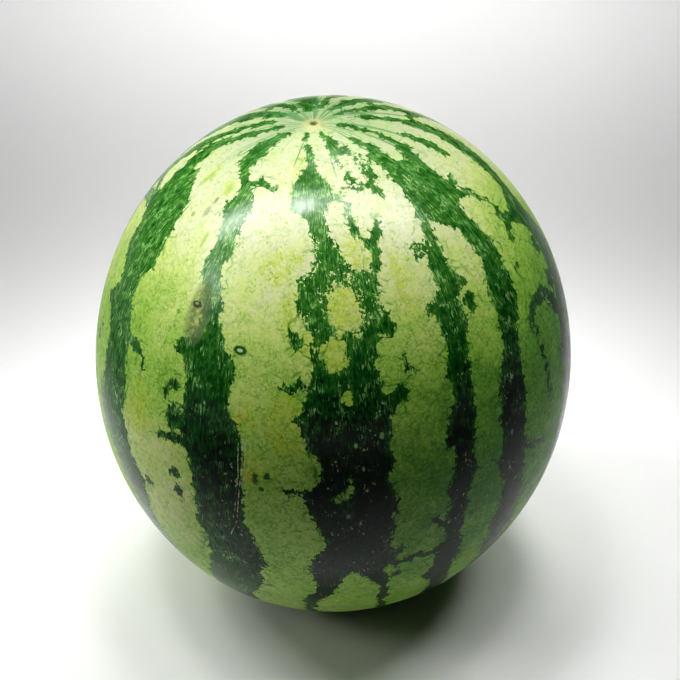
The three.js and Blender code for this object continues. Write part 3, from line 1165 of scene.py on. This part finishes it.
    def dress(self, piece: bpy.types.Object) -> None:
        """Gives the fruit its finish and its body.

        Args:
            piece: the fruit's object.
        """
        piece.data.materials.append(RindFinish().material())
        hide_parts("watermelon")
        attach(piece, "root")


@dataclass(frozen=True)
class FloorFinish:
    """A plain pale matt floor."""

    name: str = "pale_floor"
    colour: Colour = (0.86, 0.86, 0.85)
    shade: Colour = (0.80, 0.80, 0.80)
    roughness: float = 0.9
    specular_level: float = 0.1

    def material(self) -> bpy.types.Material:
        """Builds the material.

        Returns:
            The material.
        """
        made = bpy.data.materials.new(self.name)
        bench = NodeBench(made)
        place = bench.node("TexCoord").outputs["Object"]
        tint = bench.ramp(bench.noise(place, 0.4, 2.0), 0.3, 0.7, 0.0, 0.05)
        colour = bench.blend(tint, self.colour, self.shade)
        shader = bench.node("BsdfPrincipled", {"Base Color": colour, "Roughness": self.roughness})
        shader.inputs["Specular IOR Level"].default_value = self.specular_level
        bench.node("OutputMaterial", {"Surface": shader.outputs[0]})
        return made


@dataclass(frozen=True)
class Softbox:
    """A rectangular light faced to a target, its long side level and turned from +X by slant degrees."""

    name: str
    place: tuple[float, float, float]
    target: tuple[float, float, float]
    size: tuple[float, float]
    slant: float
    power: float
    spread: float

    def hang(self) -> bpy.types.Object:
        """Hangs the light.

        Returns:
            The light's object.
        """
        away = (Vector(self.place) - Vector(self.target)).normalized()
        level = Vector((math.cos(math.radians(self.slant)), math.sin(math.radians(self.slant)), 0))
        wide = (level - level.dot(away) * away).normalized()
        data = bpy.data.lights.new(self.name, "AREA")
        data.shape = "RECTANGLE"
        data.size, data.size_y = self.size
        data.energy = self.power
        data.spread = math.radians(self.spread)
        lamp = bpy.data.objects.new(self.name, data)
        turned = Matrix((wide, away.cross(wide), away)).transposed().to_4x4()
        lamp.matrix_world = Matrix.Translation(self.place) @ turned
        bpy.context.scene.collection.objects.link(lamp)
        return lamp


@dataclass
class Studio:
    """The floor, the lights and the camera."""

    floor_radius: float = 7.0
    softboxes: tuple[Softbox, ...] = (
        Softbox("row_far_left", (-1.15, 0.17, 1.24), (-0.02, -0.01, 0.14), (0.44, 0.20), -9.5, 0.14, 26.0),
        Softbox("row_left", (-0.72, 0.10, 1.30), (-0.01, -0.01, 0.14), (0.44, 0.20), -9.5, 0.130, 24.0),
        Softbox("row_middle", (-0.28, 0.02, 1.31), (0.0, -0.01, 0.14), (0.44, 0.20), -5.0, 0.140, 24.0),
        Softbox("row_right", (0.15, -0.01, 1.31), (0.0, -0.01, 0.14), (0.44, 0.20), 0.0, 0.124, 24.0),
        Softbox("row_far_right", (0.58, 0.0, 1.28), (0.0, -0.01, 0.14), (0.44, 0.20), 0.0, 0.22, 34.0),
        Softbox("back_softbox", (0.0, 0.62, 1.3), (0.0, 0.16, 0.0), (0.5, 0.3), 0.0, 0.25, 34.0),
        Softbox("floor_softbox", (0.0, 1.0, 1.5), (0.0, 0.75, 0.0), (0.7, 0.6), 0.0, 1.6, 40.0),
        Softbox("left_fill", (-1.1, -0.25, 0.75), (0.0, 0.0, 0.10), (0.5, 0.5), 80.0, 0.20, 34.0),
        Softbox("front_ring_softbox", (0.0, -0.85, 1.2), (0.0, -0.85, 0.0), (1.8, 0.5), 0.0, 1.2, 40.0),
        Softbox("left_ring_softbox", (-0.85, 0.0, 1.2), (-0.85, 0.0, 0.0), (1.8, 0.5), 90.0, 1.0, 40.0),
        Softbox("right_ring_softbox", (0.85, 0.0, 1.2), (0.85, 0.0, 0.0), (1.8, 0.5), 90.0, 0.7, 40.0),
        Softbox("front_floor_softbox", (0.0, -1.75, 1.6), (0.0, -1.75, 0.0), (3.4, 1.5), 0.0, 8.0, 60.0),
        Softbox("left_floor_softbox", (-2.0, 0.3, 1.6), (-2.0, 0.3, 0.0), (3.4, 1.5), 90.0, 7.0, 60.0),
        Softbox("right_floor_softbox", (2.0, 0.3, 1.6), (2.0, 0.3, 0.0), (3.4, 1.5), 90.0, 6.0, 60.0),
    )
    floor_sides: int = 96
    room_colour: Colour = (0.93, 0.96, 1.0)
    room_light: float = 0.02
    aim: tuple[float, float, float] = (0.00333, 0.0, 0.13085)
    distance: float = 0.8903
    elevation: float = 34.281
    lens: float = 100.0
    sensor: float = 36.0

    def build(self) -> None:
        """Lays the floor, hangs the lights and sets the camera and the picture's tones."""
        self._floor()
        for softbox in self.softboxes:
            softbox.hang()
        self._world()
        self._camera()
        view = bpy.context.scene.view_settings
        view.view_transform = "Standard"
        view.look = "High Contrast"

    def _floor(self) -> None:
        """The floor, a large disc."""
        bpy.ops.mesh.primitive_circle_add(vertices=self.floor_sides, radius=self.floor_radius,
                                          fill_type="NGON")
        floor = bpy.context.object
        floor.name = "floor"
        floor.data.materials.append(FloorFinish().material())

    def _world(self) -> None:
        """A dim room."""
        world = bpy.data.worlds.new("room")
        bpy.context.scene.world = world
        bench = NodeBench(world)
        back = bench.node("Background", {"Color": (*self.room_colour, 1.0), "Strength": self.room_light})
        bench.node("OutputWorld", {"Surface": back.outputs[0]})

    def _camera(self) -> None:
        """Sets the camera at the fitted place, without shift or blur."""
        data = bpy.data.cameras.new("camera")
        data.lens = self.lens
        data.sensor_width = self.sensor
        data.clip_start = 0.01
        data.clip_end = 50.0
        data.dof.use_dof = False
        camera = bpy.data.objects.new("camera", data)
        angle = math.radians(self.elevation)
        back = Vector((0.0, -math.cos(angle), math.sin(angle)))
        camera.location = Vector(self.aim) + back * self.distance
        camera.rotation_mode = "QUATERNION"
        camera.rotation_quaternion = (-back).to_track_quat("-Z", "Y")
        bpy.context.scene.collection.objects.link(camera)
        bpy.context.scene.camera = camera


def main() -> None:
    """Builds the studio and the fruit, in that order, and reports the fruit."""
    logging.basicConfig(level=logging.INFO, format="%(name)s: %(message)s")
    Studio().build()
    melon = MelonBody()
    piece = melon.build()
    melon.dress(piece)
    LOG.info("%s: %d vertices, %d faces", piece.name, len(piece.data.vertices), len(piece.data.polygons))


if __name__ == "__main__":
    main()
